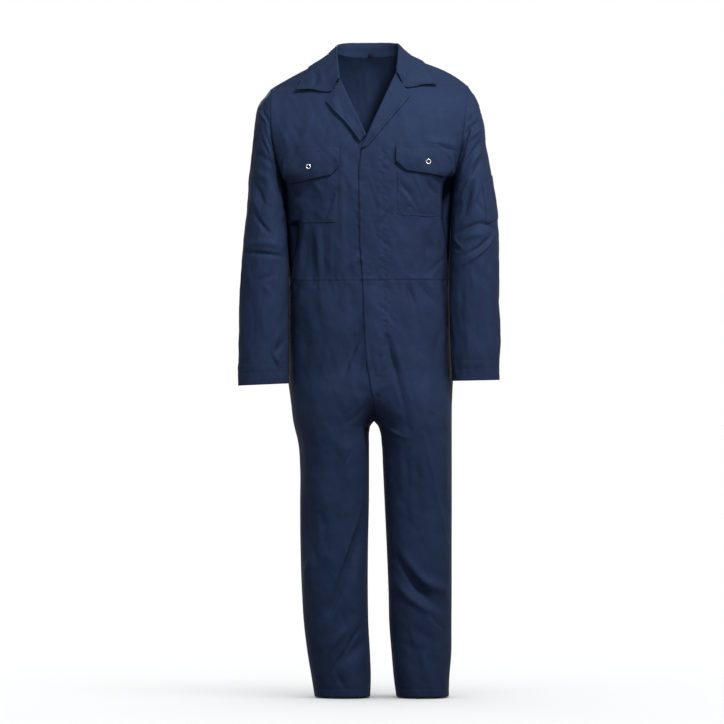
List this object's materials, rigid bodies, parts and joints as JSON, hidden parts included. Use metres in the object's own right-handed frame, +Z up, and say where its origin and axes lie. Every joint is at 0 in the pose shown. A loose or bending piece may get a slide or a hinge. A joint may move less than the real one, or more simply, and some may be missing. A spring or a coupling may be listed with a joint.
{
  "type": "boiler suit",
  "caption": "Worn boiler suit with notched collar, lapped front, flap chest pockets, waist seam, long sleeves and straight legs, hollow and open at neck, cuffs and hems.",
  "frame": {"origin": "middle of the neck opening at shoulder height, where the wearer's shoulders carry the suit", "axes": "+Z up, -Y to the front, +X to the wearer's left"},
  "size_m": [0.6435, 0.262, 1.6103],
  "materials": {
    "cloth": "matt navy twill with a faint sheen",
    "stud": "bright ring with a dark hollow middle",
    "tab": "bare black tape"
  },
  "bodies": {
    "root": {"front_left": "cloth", "front_right": "cloth", "back": "cloth", "sleeve_left": "cloth", "sleeve_right": "cloth", "trouser_front_left": "cloth", "trouser_front_right": "cloth", "trouser_back_left": "cloth", "trouser_back_right": "cloth", "collar": "cloth", "lapel_left": "cloth", "lapel_right": "cloth", "chest_pocket_left": "cloth", "chest_pocket_right": "cloth", "pocket_flap_left": "cloth", "pocket_flap_right": "cloth", "sleeve_pocket": "cloth", "stud_left": "stud", "stud_right": "stud", "size_tab": "tab"}
  },
  "joints": []
}
